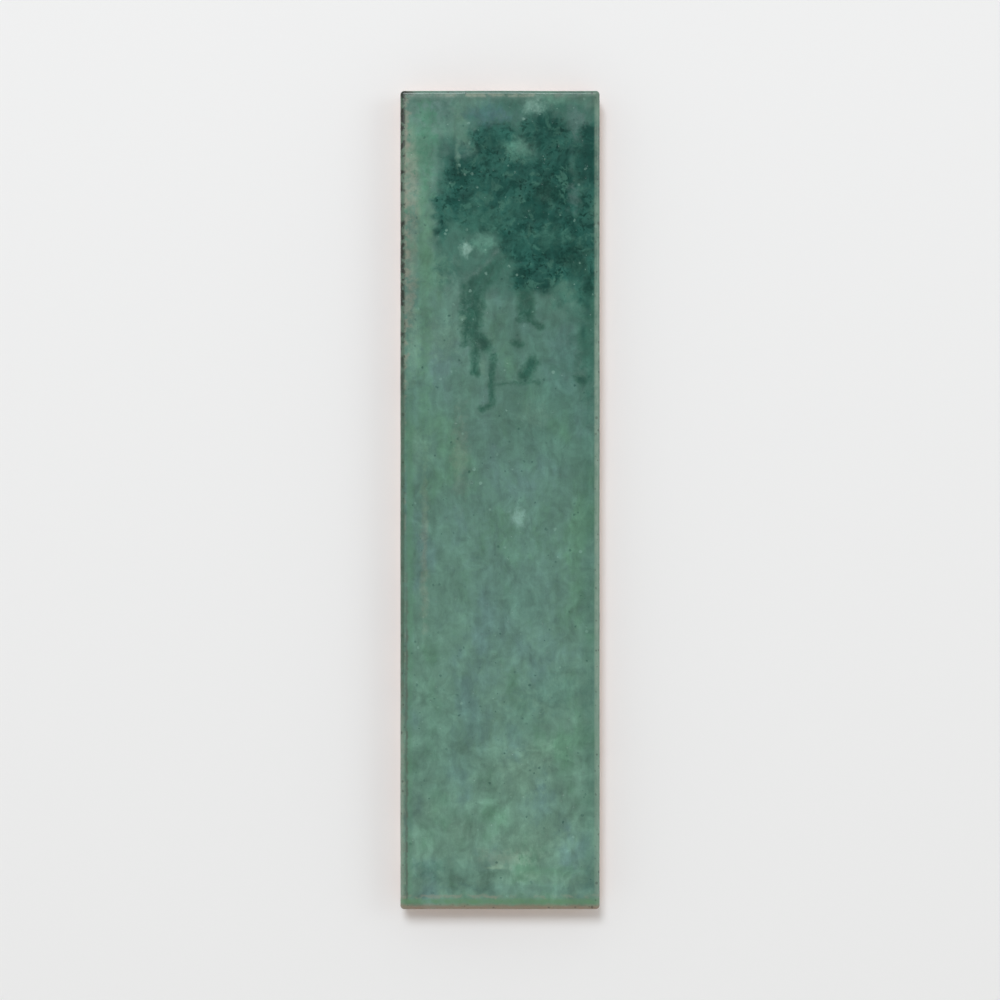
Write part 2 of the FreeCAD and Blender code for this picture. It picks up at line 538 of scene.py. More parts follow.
# %% The strokes of the pool, its wash and its drips
# Each is the x and y where a run starts, the x and y where it ends, and its radius, in mm
POOL = (
    (-4.6, 109, 2.4, 109.8, 3.4),
    (-12.8, 99, -13, 88, 3.8),
    (-9, 97, 9, 97, 6.2),
    (-5, 104.4, 2, 104, 2.6),
    (12.6, 110.4, 18.4, 107, 5.6),
    (26.6, 109.6, 26.8, 99, 3.4),
    (16.4, 102, 19, 92, 4.8),
    (26.8, 97, 26.4, 88, 2.2),
    (-8, 87.6, 6, 88, 6.2),
    (4, 84, 21, 83, 6.4),
    (-17.2, 92, -17.6, 80, 1.6),
    (7, 77, 22.4, 75, 5.6),
    (25, 84, 25.8, 63, 3.4),
    (7.4, 70, 20, 70, 4.2),
    (6.8, 66, 12.6, 65.6, 2.6),
)
WASH = (
    (-14.6, 104, -14, 76, 5.4),
    (-5, 113, 24, 113, 6),
    (-8, 96, -5.6, 69, 7),
    (5, 100, 4, 68, 8),
    (18, 106, 18, 70, 8.8),
    (26.4, 110, 26.6, 42, 2.8),
)
DRIPS = (
    (1.4, 74, -5.4, 66, 2.4),
    (-7.4, 64.8, -8.6, 51.4, 3.2),
    (-11, 64, -10.4, 47.2, 1.5),
    (-8, 50, -4.4, 46.4, 2.3),
    (-7.6, 47, -7.4, 38.4, 1.5),
    (-2.4, 43.4, -2.4, 29.6, 1),
    (-3, 28.8, -5.4, 27.4, 1),
    (6.8, 69, 8, 56, 2.7),
    (5.8, 54.2, 8.6, 54.6, 1.2),
    (8.8, 54.4, 12.2, 52, 1.1),
    (4.2, 47.2, 5.8, 46.8, 1.2),
    (9.6, 41.4, 7.4, 37.6, 2.3),
    (-1.4, 34.7, 12, 35.4, 0.3),
    (26.2, 63, 26.4, 56, 1.7),
    (25.2, 52, 25, 46.8, 1.6),
    (23.6, 36.4, 24.8, 35.8, 1.6),
)
print(f"{len(POOL)} strokes of the pool, {len(WASH)} of the wash, {len(DRIPS)} of the drips")


# %% The rule that melts strokes together
def stroke_depth(n, place, stroke):
    """How far inside a stroke a place is, in mm; below zero outside it."""
    start_x, start_y, end_x, end_y, radius = stroke
    run = Vector((end_x - start_x, end_y - start_y, 0))
    from_start = n.vector("SUBTRACT", place, (start_x, start_y, 0))
    reach = n.held(n.math("DIVIDE", n.measure("DOT_PRODUCT", from_start, run), run.length_squared))
    nearest = n.scaled(tuple(run), reach)
    return n.less(radius, n.measure("DISTANCE", from_start, nearest))


def melted(n, place, strokes, softness):
    """The depth in the deepest of some strokes, with the gaps between them filled softly."""
    depth = stroke_depth(n, place, strokes[0])
    for stroke in strokes[1:]:
        depth = n.math("SMOOTH_MAX", depth, stroke_depth(n, place, stroke), softness)
    return depth


# %% The push that makes an outline ragged
def wandering(n, place, size, amount, detail=2):
    """A place pushed about by up to half an amount, in lumps of a size."""
    push = n.vector("SUBTRACT", n.noise(place, size, detail, colour=True), (0.5, 0.5, 0.5))
    return n.vector("ADD", place, n.stretched(push, amount, amount, 0))


# %% How far the strokes melt into each other, in mm
POOL_MELT = 2.4
WASH_MELT = 3
DRIP_MELT = 0.7


# %% The tree of the flow
def flow_tree(kind):
    """How deep a place lies in the pool, its wash and the drips, in mm, and the place as it ran."""
    n, given, result = new_tree(
        "glaze_flow", kind, {"Place": "vector"},
        {"Pool": "float", "Wash": "float", "Drip": "float", "Ragged": "vector"})
    flat = n.flat(given["Place"])
    ragged = wandering(n, wandering(n, flat, 8, 7), 2, 3.2, 4)
    n.give(result["Ragged"], ragged)
    n.give(result["Pool"], melted(n, ragged, POOL, POOL_MELT))
    n.give(result["Wash"], melted(n, ragged, WASH, WASH_MELT))
    runny = wandering(n, wandering(n, flat, 5, 2.2), 1.3, 1.8, 3)
    n.give(result["Drip"], melted(n, runny, DRIPS, DRIP_MELT))
    return n.tree


# %% [markdown]
# ## Where the glaze ends
#
# The glaze runs over the rim and part of the way down the sides, and stops in an uneven line
# with a few runs. Below it the clay is bare. One material with a mask would do for the colour
# alone. As a rule that shape and finish share, the step of the glaze's edge and its change of
# colour lie together.

# %% The end of the glaze on the sides, in mm above the back
LOWEST_END = 5.6
HIGHEST_END = 7.4
RUN_LENGTH = 1.1
END_RAGGED = 0.12

half_x = tile_width / MM / 2
half_y = tile_length / MM / 2


# %% The tree of the glaze's end, and of the way in from the tile's outline
def cover_tree(kind):
    """How far a place is above the end of the glaze, and how far in from the outline, in mm."""
    n, given, result = new_tree(
        "glaze_cover", kind, {"Place": "vector"}, {"Above": "float", "Edge": "float"})
    flat = n.flat(given["Place"])
    level = n.slope(n.noise(flat, 9), 0.25, 0.75, LOWEST_END, HIGHEST_END)
    run = n.ramp(n.noise(flat, 3.4, 1), 0.58, 0.72, 0, RUN_LENGTH)
    ragged = n.slope(n.noise(flat, 0.9), 0.3, 0.7, -END_RAGGED, END_RAGGED)
    end = n.plus(n.less(level, run), ragged)
    n.give(result["Above"], n.less(n.part(given["Place"], "Z"), end))
    inside_x = n.less(half_x, n.math("ABSOLUTE", n.part(flat, "X")))
    inside_y = n.less(half_y, n.math("ABSOLUTE", n.part(flat, "Y")))
    n.give(result["Edge"], n.math("MINIMUM", inside_x, inside_y))
    return n.tree


print(f"the glaze ends {LOWEST_END} to {HIGHEST_END} mm up, and its runs {RUN_LENGTH} mm lower")

# %% [markdown]
# ## The relief of the glaze
#
# Fired glaze is never flat: it ripples, draws back from the rim so that a low roll stands
# inside it, and swells where it pooled and dripped. These are real shapes, so they move the
# points of the mesh along its normals. They all stay within the pressed size, because the
# tile must still fit its joint, and they fade out above the foot, where the back joins.

# %% Heights of the relief, in mm
HEIGHTS = {
    "Ripple": 0.2, "Little ripple": 0.05, "Rim pull": 0.1, "Pool swell": 0.06,
    "Drip swell": 0.08, "Side wobble": 0.16, "Glaze skin": 0.2, "Clay grain": 0.06,
}
SINKING = ("Ripple", "Little ripple", "Rim pull", "Drip swell")
print(f"the face may sink by {sum(HEIGHTS[name] for name in SINKING):.2f} mm at most")

# %% How wide its lumps are, in mm
RIPPLE_SIZE = 26
LITTLE_RIPPLE_SIZE = 6
WOBBLE_SIZE = 22
GRAIN_SIZE = 0.8


# %% The face: long and short ripples, the pull from the rim, pool and drips
def face_height(n, given, flat, flow, edge):
    """How high the face stands, in mm, at most zero."""
    ripple = n.times(n.noise(flat, RIPPLE_SIZE, 1), given["Ripple"], n.ramp(edge, 0.5, 7))
    little = n.times(n.noise(flat, LITTLE_RIPPLE_SIZE), given["Little ripple"])
    pull = n.times(n.ramp(edge, 2.6, 0.4), given["Rim pull"])
    pool = n.times(n.ramp(flow["Pool"], -1.5, 2.5), given["Pool swell"])
    drips = n.times(n.ramp(flow["Drip"], -0.6, 1), given["Drip swell"])
    return n.less(n.either(pool, drips), n.plus(ripple, little, pull, given["Drip swell"]))


# %% The sides: an outline that isn't quite straight, and the glaze's skin ending in a step
def side_height(n, given, place, above):
    """How far the sides stand out, in mm, at most zero."""
    wobble = n.times(n.noise(n.flat(place), WOBBLE_SIZE, 1), given["Side wobble"])
    grain = n.times(n.noise(place, GRAIN_SIZE, 3), given["Clay grain"])
    skin = n.times(n.ramp(above, 0.14, -0.14), n.plus(given["Glaze skin"], grain))
    return n.less(0, n.plus(wobble, skin))


# %% The tree that moves the surface
def relief_tree():
    """Moves the points of face and sides along their normals, but none at the foot."""
    n, given, result = new_tree(
        "glaze_relief", "GeometryNodeTree",
        {"Body": "geometry", **dict.fromkeys(HEIGHTS, "float"), "Finish": "material"},
        {"Geometry": "geometry"})
    place = n.scaled(n.add("GeometryNodeInputPosition").outputs[0], 1 / MM)
    flow = n.group(flow_tree("GeometryNodeTree"), {"Place": place})
    cover = n.group(cover_tree("GeometryNodeTree"), {"Place": place})
    face = face_height(n, given, n.flat(place), flow, cover["Edge"])
    side = side_height(n, given, place, cover["Above"])
    height = n.blend(n.ramp(cover["Edge"], 0.3, 1.6), side, face)
    height = n.times(height, n.ramp(n.part(place, "Z"), 0.6, 1.5), MM)
    normal = n.add("GeometryNodeInputNormal").outputs[0]
    inputs = {"Geometry": given["Body"], "Offset": n.scaled(normal, height)}
    moved = n.add("GeometryNodeSetPosition", inputs).outputs[0]
    inputs = {"Geometry": real(n, moved), "Material": given["Finish"]}
    n.give(result["Geometry"], n.add("GeometryNodeSetMaterial", inputs).outputs[0])
    return n.tree


# %% A helper that runs a tree and keeps its result
def apply_tree(piece, tree, values):
    """Run a Geometry Nodes tree on a piece with the named values, and keep the plain mesh."""
    modifier = piece.modifiers.new(tree.name, "NODES")
    modifier.node_group = tree
    for socket in tree.interface.items_tree:
        if socket.in_out == "INPUT" and socket.name in values:
            modifier[socket.identifier] = values[socket.name]
    depsgraph = bpy.context.evaluated_depsgraph_get()
    made = bpy.data.meshes.new_from_object(piece.evaluated_get(depsgraph), depsgraph=depsgraph)
    piece.modifiers.remove(modifier)
    plain = piece.data
    piece.data = made
    bpy.data.meshes.remove(plain)
    print(f"{tree.name}: {len(made.vertices)} points, {len(made.polygons)} faces")


# %% Run both trees
glaze_finish = bpy.data.materials.new("sage_glaze")
clay_finish = bpy.data.materials.new("bare_clay")
apply_tree(tile, relief_tree(), {**HEIGHTS, "Finish": glaze_finish})
apply_tree(tile, waffle_tree(), {
    "Cell side": CELL_SIDE, "Pitch": cell_pitch, "Cells across": cells_across,
    "Cells along": cells_along, "Depth": CELL_DEPTH, "Round": CELL_ROUND, "Draw": CELL_DRAW,
    "Finish": clay_finish})
SHARP_ANGLE = math.radians(32)
tile.data.shade_smooth()
tile.data.set_sharp_from_angle(angle=SHARP_ANGLE)
print("finishes:", [material.name for material in tile.data.materials])
print(f"highest point {max(vertex.co.z for vertex in tile.data.vertices) / MM:.3f} mm")

# %% [markdown]
# ## Specks
#
# Iron specks, pinholes, pale crystals and the grit in the clay are all dots of about one
# size, scattered unevenly. One group draws them all: cells of a Voronoi texture, of which
# only a share holds a dot. On the face the cells are flat, in the clay they fill space.

# %% The speck group
def speck_tree(name, dimensions):
    """Dots of a radius, one at most in each cell of a spacing, in a share of the cells."""
    n, given, result = new_tree(
        name, "ShaderNodeTree",
        {"Place": "vector", "Spacing": "float", "Radius": "float", "Share": "float"}, {"Mask": "float"})
    inputs = {"Vector": given["Place"], "Scale": n.math("DIVIDE", 1, given["Spacing"])}
    cells = n.add("ShaderNodeTexVoronoi", inputs, voronoi_dimensions=dimensions, feature="F1").outputs
    # A cell's colour repeats where its dot lies, so the lot is drawn from white noise on it
    lot = n.add("ShaderNodeTexWhiteNoise", {"Vector": cells["Color"]}, noise_dimensions="3D").outputs
    distance = n.times(cells["Distance"], given["Spacing"])
    radius = n.times(given["Radius"], n.slope(n.part(lot["Color"], "Y"), 0, 1, 0.4, 1.3))
    dot = n.ramp(n.math("DIVIDE", distance, radius), 1.3, 0.7)
    chosen = n.math("LESS_THAN", lot["Value"], given["Share"])
    n.give(result["Mask"], n.times(dot, chosen))
    return n.tree


def specks(n, tree, place, spacing, radius, share):
    """The mask of some specks; spacing and radius are in mm."""
    return n.group(tree, {"Place": place, "Spacing": spacing, "Radius": radius, "Share": share})[0]


face_specks = speck_tree("face_specks", "2D")
clay_specks = speck_tree("clay_specks", "3D")
print("speck groups:", face_specks.name, "and", clay_specks.name)

# %% [markdown]
# ## Bare clay
#
# Where no glaze reached, the fired clay is dull and pinkish tan, a little cloudy from the
# kiln, with pale grit, a few rusty specks and a fine grain. It shows on the whole back and
# below the glaze on the sides, so it is a group that both finishes place.

# %% Colours of the clay
CLAY = screen(205, 167, 144)
CLAY_PALE = screen(216, 188, 168)
CLAY_DARK = screen(186, 143, 118)
GRIT = screen(228, 208, 188)
RUST = screen(120, 66, 46)

# %% Its roughness, and the depths of its grain and pits in mm
CLAY_ROUGHNESS = (0.82, 0.95)
GRAIN_DEPTH = 0.09
PIT_DEPTH = 0.12


# %% The clay group
def clay_tree():
    """Cloudy clay with a fine grain, pale grit, rusty specks and pits."""
    n, given, result = new_tree(
        "fired_clay", "ShaderNodeTree", {"Place": "vector"},
        {"Colour": "colour", "Roughness": "float", "Height": "float"})
    place = given["Place"]
    cloud = n.noise(place, 16, 3, 0.6)
    colour = n.mix(n.ramp(cloud, 0.48, 0.7), CLAY, CLAY_PALE)
    colour = n.mix(n.ramp(cloud, 0.5, 0.3), colour, CLAY_DARK)
    grain = n.noise(place, 0.55, 3, 0.65)
    colour = n.scaled(colour, n.slope(grain, 0.25, 0.75, 0.86, 1.14))
    grit = specks(n, clay_specks, place, 1, 0.3, 0.3)
    rust = specks(n, clay_specks, place, 2.1, 0.4, 0.3)
    pits = specks(n, clay_specks, place, 1.3, 0.36, 0.35)
    colour = n.mix(n.times(grit, 0.6), colour, GRIT)
    n.give(result["Colour"], n.mix(n.times(rust, 0.75), colour, RUST))
    n.give(result["Roughness"], n.slope(cloud, 0.3, 0.7, *CLAY_ROUGHNESS))
    n.give(result["Height"], n.less(n.times(grain, GRAIN_DEPTH), n.times(pits, PIT_DEPTH)))
    return n.tree


fired_clay = clay_tree()
print(f"{fired_clay.name}: {len(fired_clay.nodes)} nodes")


# %% Helpers for a finish
def start_finish(material):
    """Clear a material's tree: its Recipe, its shader and the place on the piece in mm."""
    material.use_nodes = True
    material.node_tree.nodes.clear()
    n = Recipe(material.node_tree)
    shader = n.add("ShaderNodeBsdfPrincipled")
    output = n.add("ShaderNodeOutputMaterial")
    n.give(output.inputs["Surface"], shader.outputs[0])
    place = n.scaled(n.add("ShaderNodeTexCoord").outputs["Object"], 1 / MM)
    return n, shader.inputs, place


def bumped(n, height):
    """A normal from a height in mm."""
    return n.add("ShaderNodeBump", {"Height": height, "Distance": MM, "Strength": 1}).outputs[0]


# %% The finish of the back
KILN_POWDER = screen(224, 214, 202)
CLAY_SHEEN = 0.3


def finish_clay():
    """Clay, with the white powder that keeps tiles from sticking in the kiln on its ribs."""
    n, shader, place = start_finish(clay_finish)
    clay = n.group(fired_clay, {"Place": place})
    rubbed = n.ramp(n.noise(place, 7, 4, 0.65), 0.42, 0.58)
    powder = n.times(n.ramp(n.part(place, "Z"), 0.2, 0.05), rubbed, 0.55)
    n.give(shader["Base Color"], n.mix(powder, clay["Colour"], KILN_POWDER))
    n.give(shader["Roughness"], clay["Roughness"])
    n.give(shader["Normal"], bumped(n, clay["Height"]))
    shader["Specular IOR Level"].default_value = CLAY_SHEEN
    print(f"{clay_finish.name}: {len(n.tree.nodes)} nodes")


finish_clay()

# %% [markdown]
# ## The ground of the glaze
#
# A reactive glaze is many things on top of each other, and the ground is the lowest: sage that
# pales towards the foot, with greener and greyer clouds. Wisps, upright streaks and a mottle
# as fine as sand make it lighter and darker. One noise would look like marble, so each layer
# has its own size, and they are multiplied. The lightness is a value of its own, because it
# also runs through the pool and the drips that are laid over the ground later.

# %% Colours of the ground
SAGE_HIGH = screen(87, 125, 112)
SAGE_LOW = screen(104, 141, 124)
JADE = screen(89, 132, 108)
MIST = screen(94, 128, 123)


# %% The colour of the ground
def ground_colour(n, flat):
    """Sage that pales towards the foot, with greener and greyer clouds."""
    colour = n.mix(n.ramp(n.part(flat, "Y"), 50, -118), SAGE_HIGH, SAGE_LOW)
    cloud = n.noise(n.stretched(flat, 1, 0.6, 1), 17, 4, 0.6)
    colour = n.mix(n.ramp(cloud, 0.5, 0.66, 0, 0.8), colour, JADE)
    return n.mix(n.ramp(cloud, 0.49, 0.33, 0, 0.85), colour, MIST)


# %% How light the ground is
def ground_light(n, flat, bent):
    """Patches that grow stronger towards the foot, times wisps, drifts, streaks, brushing, sand."""
    patches = n.slope(n.noise(n.shifted(bent, 70, 30, 4), 9), 0.3, 0.7, -1, 1)
    light = n.plus(1, n.times(patches, n.ramp(n.part(flat, "Y"), -40, -95, 0.12, 0.26)))
    # Each layer is its noise, how far that goes from 0.5, and how far it swings the light
    layers = (
        (n.noise(n.stretched(bent, 1, 0.6, 1), 3.8, 6, 0.65), 0.22, 0.22),
        (n.noise(n.shifted(flat, 20, 60, 9), 30), 0.15, 0.04),
        (n.noise(n.stretched(flat, 1, 0.16, 1), 2, 3, 0.6), 0.2, 0.07),
        (n.noise(n.shifted(bent, 5, 8, 2.7), 2.2, 2, 0.6), 0.2, 0.08),
        (n.noise(flat, 0.5, 2, 0.6), 0.25, 0.04),
    )
    for layer, reach, swing in layers:
        light = n.times(light, n.slope(layer, 0.5 - reach, 0.5 + reach, 1 - swing, 1 + swing))
    return light


# %% The group of the ground
def ground_tree():
    """The sage ground: its colour, its lightness, and the place bent as its wisps are."""
    n, given, result = new_tree("sage_ground", "ShaderNodeTree", {"Place": "vector"},
                                {"Colour": "colour", "Light": "float", "Bent": "vector"})
    flat = n.flat(given["Place"])
    bent = wandering(n, flat, 9, 8, 3)
    n.give(result["Colour"], ground_colour(n, flat))
    n.give(result["Light"], ground_light(n, flat, bent))
    n.give(result["Bent"], bent)
    return n.tree


sage_ground = ground_tree()
print(f"{sage_ground.name}: {len(sage_ground.nodes)} nodes")

# %% [markdown]
# ## The pool, its wash and its drips
#
# The flow's depths come from the rule that also swells the shape. A depth is turned into a
# mask by a soft step, wide for the wash and narrow for the drips, which end in darker beads.
# The pool is shallow at its edge and deeper in clouds, with flecks that gather in places, as
# the metal in such a glaze does when it settles.

# %% Colours of the flow
WASH_TEAL = screen(56, 103, 90)
TEAL_SHOAL = screen(46, 97, 86)
TEAL = screen(36, 86, 77)
TEAL_DEEP = screen(20, 69, 61)
TEAL_FLECK = screen(8, 55, 47)
DRIP = screen(48, 95, 79)
DRIP_BEAD = screen(34, 81, 68)
pool_light, fleck_light = (tint[1] / SAGE_HIGH[1] for tint in (TEAL, TEAL_FLECK))
print(f"beside the sage, the pool is {pool_light:.2f} as light and its flecks {fleck_light:.2f}")


# %% The wash with its halo
def lay_wash(n, colour, flow, wash, flat):
    halo = n.times(n.ramp(flow["Wash"], -44, -2), n.ramp(n.part(flat, "X"), -12, 8), 0.36)
    colour = n.mix(halo, colour, WASH_TEAL)
    thinning = n.ramp(n.part(flat, "Y"), 56, 86, 0.45, 0.95)
    return n.mix(n.times(wash, thinning), colour, WASH_TEAL)


# %% The drips with their beads
def lay_drips(n, colour, flow, flat):
    broken = n.slope(n.noise(flow["Ragged"], 2, 4, 0.65), 0.36, 0.62, 0.5, 1)
    broken = n.times(broken, n.ramp(n.part(flat, "Y"), 80, 66))
    colour = n.mix(n.times(n.ramp(flow["Drip"], -0.7, 0.6), broken, 0.9), colour, DRIP)
    return n.mix(n.times(n.ramp(flow["Drip"], 0.4, 1.8), broken, 0.9), colour, DRIP_BEAD)


# %% The colour of the pool
def pool_colour(n, depth, flat, bent):
    """Shallow at the edge, deeper in clouds, with flecks that gather."""
    settled = n.noise(n.shifted(bent, 0, 0, 5.3), 3.4, 5, 0.62)
    shoals = n.noise(n.shifted(bent, 15, 52, 6.1), 8, 3, 0.55)
    teal = n.mix(n.ramp(depth, -1, 3), TEAL_SHOAL, TEAL)
    teal = n.mix(n.ramp(shoals, 0.5, 0.36, 0, 0.9), teal, TEAL_DEEP)
    teal = n.mix(n.ramp(shoals, 0.5, 0.64), teal, TEAL_SHOAL)
    teal = n.mix(n.ramp(settled, 0.49, 0.39), teal, TEAL_DEEP)
    teal = n.mix(n.ramp(settled, 0.53, 0.63), teal, WASH_TEAL)
    gathered = n.ramp(n.noise(flat, 8), 0.4, 0.56)
    fine = n.noise(n.shifted(flat, 3.1, 7.3, 4.6), 1.1, 2, 0.6)
    return n.mix(n.times(n.ramp(fine, 0.46, 0.37), gathered, 0.9), teal, TEAL_FLECK)


# %% [markdown]
# ## Soft touches
#
# No noise puts a pale bloom or a dark patch where this one tile has it. So they are laid one by
# one, as a painter would: each is a soft round touch with a place, a reach, a colour and a
# strength. Noise breaks them up, as dust is on a wet glaze, so that none looks like a disc.

# %% Colours of the touches, where something settled on the wet glaze
FROST = screen(134, 174, 160)
MINT = screen(98, 148, 130)
PALE_SAGE = screen(108, 146, 128)
CELADON = screen(120, 158, 138)
LEAF = screen(88, 134, 106)
PEWTER = screen(80, 114, 107)
STEEL = screen(68, 106, 112)
LICHEN = screen(134, 149, 133)
FERN = screen(70, 122, 100)
SPROUT = screen(130, 163, 142)
ROSY = screen(142, 142, 127)
# MOSS is a dark green; on the left and top rims it is painted shade
MOSS = screen(60, 92, 75)
UMBER = screen(86, 98, 88)

# %% Soft touches of colour that belong to this one tile, and one painted highlight near the foot
# Each is its place x and y, how far it reaches across and along, its colour and its strength
TOUCHES = (
    (26.4, 102, 3.6, 8, TEAL_DEEP, 0.9),
    (15, 92, 5, 3.8, TEAL_FLECK, 0.95),
    (-5, 94.6, 4.2, 3.2, TEAL_DEEP, 0.6),
    (26.4, 63.8, 2.2, 3.2, TEAL_DEEP, 0.7),
    (-2.4, 108, 2.4, 2.4, TEAL_DEEP, 0.6),
    (14.6, 107.2, 4, 7.8, TEAL_DEEP, 0.6),
    (22.4, 72.4, 4.6, 6, TEAL_FLECK, 0.95),
    (22.2, 81.8, 2.8, 4.4, TEAL_DEEP, 0.6),
    (0.4, 110.2, 5.6, 4.2, TEAL, 0.6),
    (0, 100.4, 3.8, 2.2, TEAL_SHOAL, 0.7),
    (5.4, 77.6, 3.6, 3.4, TEAL_SHOAL, 0.6),
    (0, 68.6, 4.4, 5, WASH_TEAL, 0.8),
    (-6.4, 66, 3, 4.4, WASH_TEAL, 0.5),
    (-8, 88.6, 3.4, 2.6, WASH_TEAL, 0.5),
    (-6, 84, 8, 4, WASH_TEAL, 0.8),
    (15, 79, 4, 3.4, WASH_TEAL, 0.7),
    (4, 87, 6, 2.4, WASH_TEAL, 0.4),
    (-3.6, 116, 7.5, 2.6, STEEL, 0.6),
    (-20, 120.6, 7, 2.2, WASH_TEAL, 0.35),
    (-17, 114.4, 7.4, 5.4, WASH_TEAL, 0.45),
    (-12.6, 103.6, 4.8, 3, TEAL, 0.9),
    (1, 120.4, 7, 1.7, WASH_TEAL, 0.4),
    (10, 118.2, 3.4, 2.4, FROST, 0.6),
    (17, 120.2, 3.8, 1.5, MINT, 0.7),
    (22.6, 113.8, 2.4, 5.6, PEWTER, 0.85),
    (22.2, 91, 1.9, 4, PEWTER, 0.8),
    (21.4, 102, 0.8, 6, PEWTER, 0.2),
    (5.6, 105.4, 3.7, 3.3, MINT, 0.6),
    (-10.2, 75.2, 1.7, 2.3, FROST, 0.9),
    (-4.8, 77.2, 3.6, 2.7, MINT, 0.6),
    (-12.8, 104, 0.7, 4, PALE_SAGE, 0.5),
    (-11.2, 54.4, 0.9, 1, PALE_SAGE, 0.6),
    (-20, 48, 8, 6, PALE_SAGE, 0.6),
    (26.8, 46, 2.3, 20, WASH_TEAL, 0.7),
    (26.6, 53, 2.8, 13, DRIP, 0.6),
    (26.3, 57.8, 0.9, 3.6, TEAL_DEEP, 0.8),
    (25.2, 50.4, 0.9, 2.4, TEAL_DEEP, 0.8),
    (24.2, 36.2, 1.5, 1.1, TEAL_DEEP, 0.5),
    (20.6, 42, 6, 8, WASH_TEAL, 0.25),
    (-2.8, 36.2, 0.7, 6.6, DRIP_BEAD, 0.6),
    (-5, 39.6, 0.7, 3.4, PALE_SAGE, 0.5),
    (24, 54, 4, 16, WASH_TEAL, 0.5),
    (22.2, 65, 3, 2.4, TEAL_SHOAL, 0.8),
    (26.6, 64.4, 1.6, 3, TEAL_FLECK, 0.9),
    (5.4, -5, 2.3, 2.3, FROST, 1),
    (-26.2, 96, 2.3, 12, LICHEN, 0.9),
    (-26.6, 71, 1.8, 12, LICHEN, 0.4),
    (-26.4, 83, 2.2, 9, UMBER, 0.35),
    (-26.9, 60, 1.7, 7, ROSY, 0.45),
    (-15.4, 69, 4.6, 4.8, WASH_TEAL, 0.9),
    (18.4, 60.6, 3.2, 3.2, WASH_TEAL, 0.8),
    (10, 26, 4.6, 3.6, PALE_SAGE, 0.4),
    (-25.8, 46, 2.2, 11, PALE_SAGE, 0.7),
    (-22.7, -15, 1.1, 23, ROSY, 0.3),
    (-12, 14, 2.4, 12, ROSY, 0.18),
    (4, -26, 15, 32, MIST, 0.4),
    (-22.6, 62, 2.2, 60, LEAF, 0.5),
    (-22.2, 106, 3.2, 13, FERN, 1),
    (-21.6, 114.6, 2.8, 3.8, FERN, 0.9),
    (-24, 15, 4, 6, PALE_SAGE, 0.5),
    (6, -30, 6, 6, SAGE_HIGH, 0.5),
    (17, -57, 8.5, 6.4, SAGE_HIGH, 0.8),
    (6, -66, 6, 6, SAGE_HIGH, 0.5),
    (-18, -74, 12, 20, SAGE_HIGH, 0.45),
    (-14, -112, 12, 4, SAGE_HIGH, 0.45),
    (-21, -93, 5, 3.2, CELADON, 0.35),
    (-12, -99.6, 4.4, 3.6, CELADON, 0.5),
    (12.8, -75.4, 4.4, 3.6, CELADON, 0.5),
    (6.4, -82, 7.2, 6.2, CELADON, 0.8),
    (8, -103, 8.4, 5.4, CELADON, 0.8),
    (7.6, -116.4, 8, 2.6, CELADON, 0.5),
    (-26.7, -10, 1.1, 40, LEAF, 0.4),
    (6, -92, 6, 15, PALE_SAGE, 0.5),
    (1, -107.4, 7, 2.4, LICHEN, 0.35),
    (9, -112.8, 4.4, 1.6, SPROUT, 0.35),
    # Painted highlight: a pale glint line near the foot, as on a lit ridge
    (-1.8, -110.2, 3.2, 0.6, SPROUT, 0.95),
    (-3, -112.3, 4.6, 1.1, MOSS, 0.35),
    (18, -111.6, 9, 1.9, LEAF, 0.5),
    (8, -116.6, 24, 1.8, STEEL, 0.25),
    (-21, -110.4, 4.6, 2.6, WASH_TEAL, 0.35),
)
print(f"{len(TOUCHES)} touches")


# %% The rule that lays the touches
def touched(n, place, colour, touches):
    """Lay soft round touches over a colour, one after another."""
    broken = n.slope(n.noise(n.shifted(place, 0, 0, 3.7), 2.2, 4, 0.65), 0.3, 0.7, -0.6, 0.6)
    worn = n.slope(n.noise(n.shifted(place, 0, 0, 8.2), 0.9), 0.35, 0.65, 0.65, 1)
    for x, y, across, along, tint, strength in touches:
        away = n.stretched(n.vector("SUBTRACT", place, (x, y, 0)), 1 / across, 1 / along, 0)
        laid = n.ramp(n.plus(n.measure("LENGTH", away), broken), 1.5, 0.2, 0, strength)
        colour = n.mix(n.times(laid, worn), colour, tint)
    return colour


# %% [markdown]
# ## The rim of the glaze
#
# Along the outline the glaze lies thin over the arris, and the clay browns it. No two sides
# are alike: the left is rosy and charred, with painted highlight low on its arris and painted
# shade high up; the right has a painted highlight line; the top has painted shade and pale
# glints, partly thin glaze and partly painted highlight; and the foot is green with a tan edge.
# A painted border would look printed, so each line is a soft mask by the way in from the
# outline, laid on in weak and strong patches.

# %% Colours of the rim alone
# BUFF_HIGHLIGHT is painted highlight along the rims' outer round
BUFF_HIGHLIGHT = screen(130, 153, 138)
BISQUE = screen(150, 160, 142)
GRASS = screen(98, 137, 101)
TAN = screen(138, 120, 102)
BROWN = screen(120, 92, 68)
IRON = screen(26, 32, 25)


# %% What every side of the rim needs
class Rim:
    """A place near the outline: where it lies, how far in, and how patchy the glaze is there."""

    def __init__(self, n, place, edge):
        self.n = n
        self.place = place
        self.edge = edge
        self.flat = n.flat(place)
        self.across = n.part(self.flat, "X")
        self.along = n.part(self.flat, "Y")
        self.patchy = n.noise(self.flat, 3, 5, 0.65)
        self.left = n.ramp(self.across, -24, -29)
        self.high = n.ramp(self.along, 20, 56)
        self.lower = n.ramp(self.along, 50, 0)

    def line(self, way_in, middle, half_width, soft):
        """A line with its middle that far in; soft is the share of it that fades."""
        off = self.n.apart(way_in, middle)
        return self.n.ramp(off, half_width, half_width * (1 - soft))

    def lay(self, mask, colour, tint, weak, strong):
        """Lay a tint over a colour, in weak and strong patches."""
        patches = self.n.slope(self.patchy, 0.35, 0.65, weak, strong)
        return self.n.mix(self.n.times(mask, patches), colour, tint)
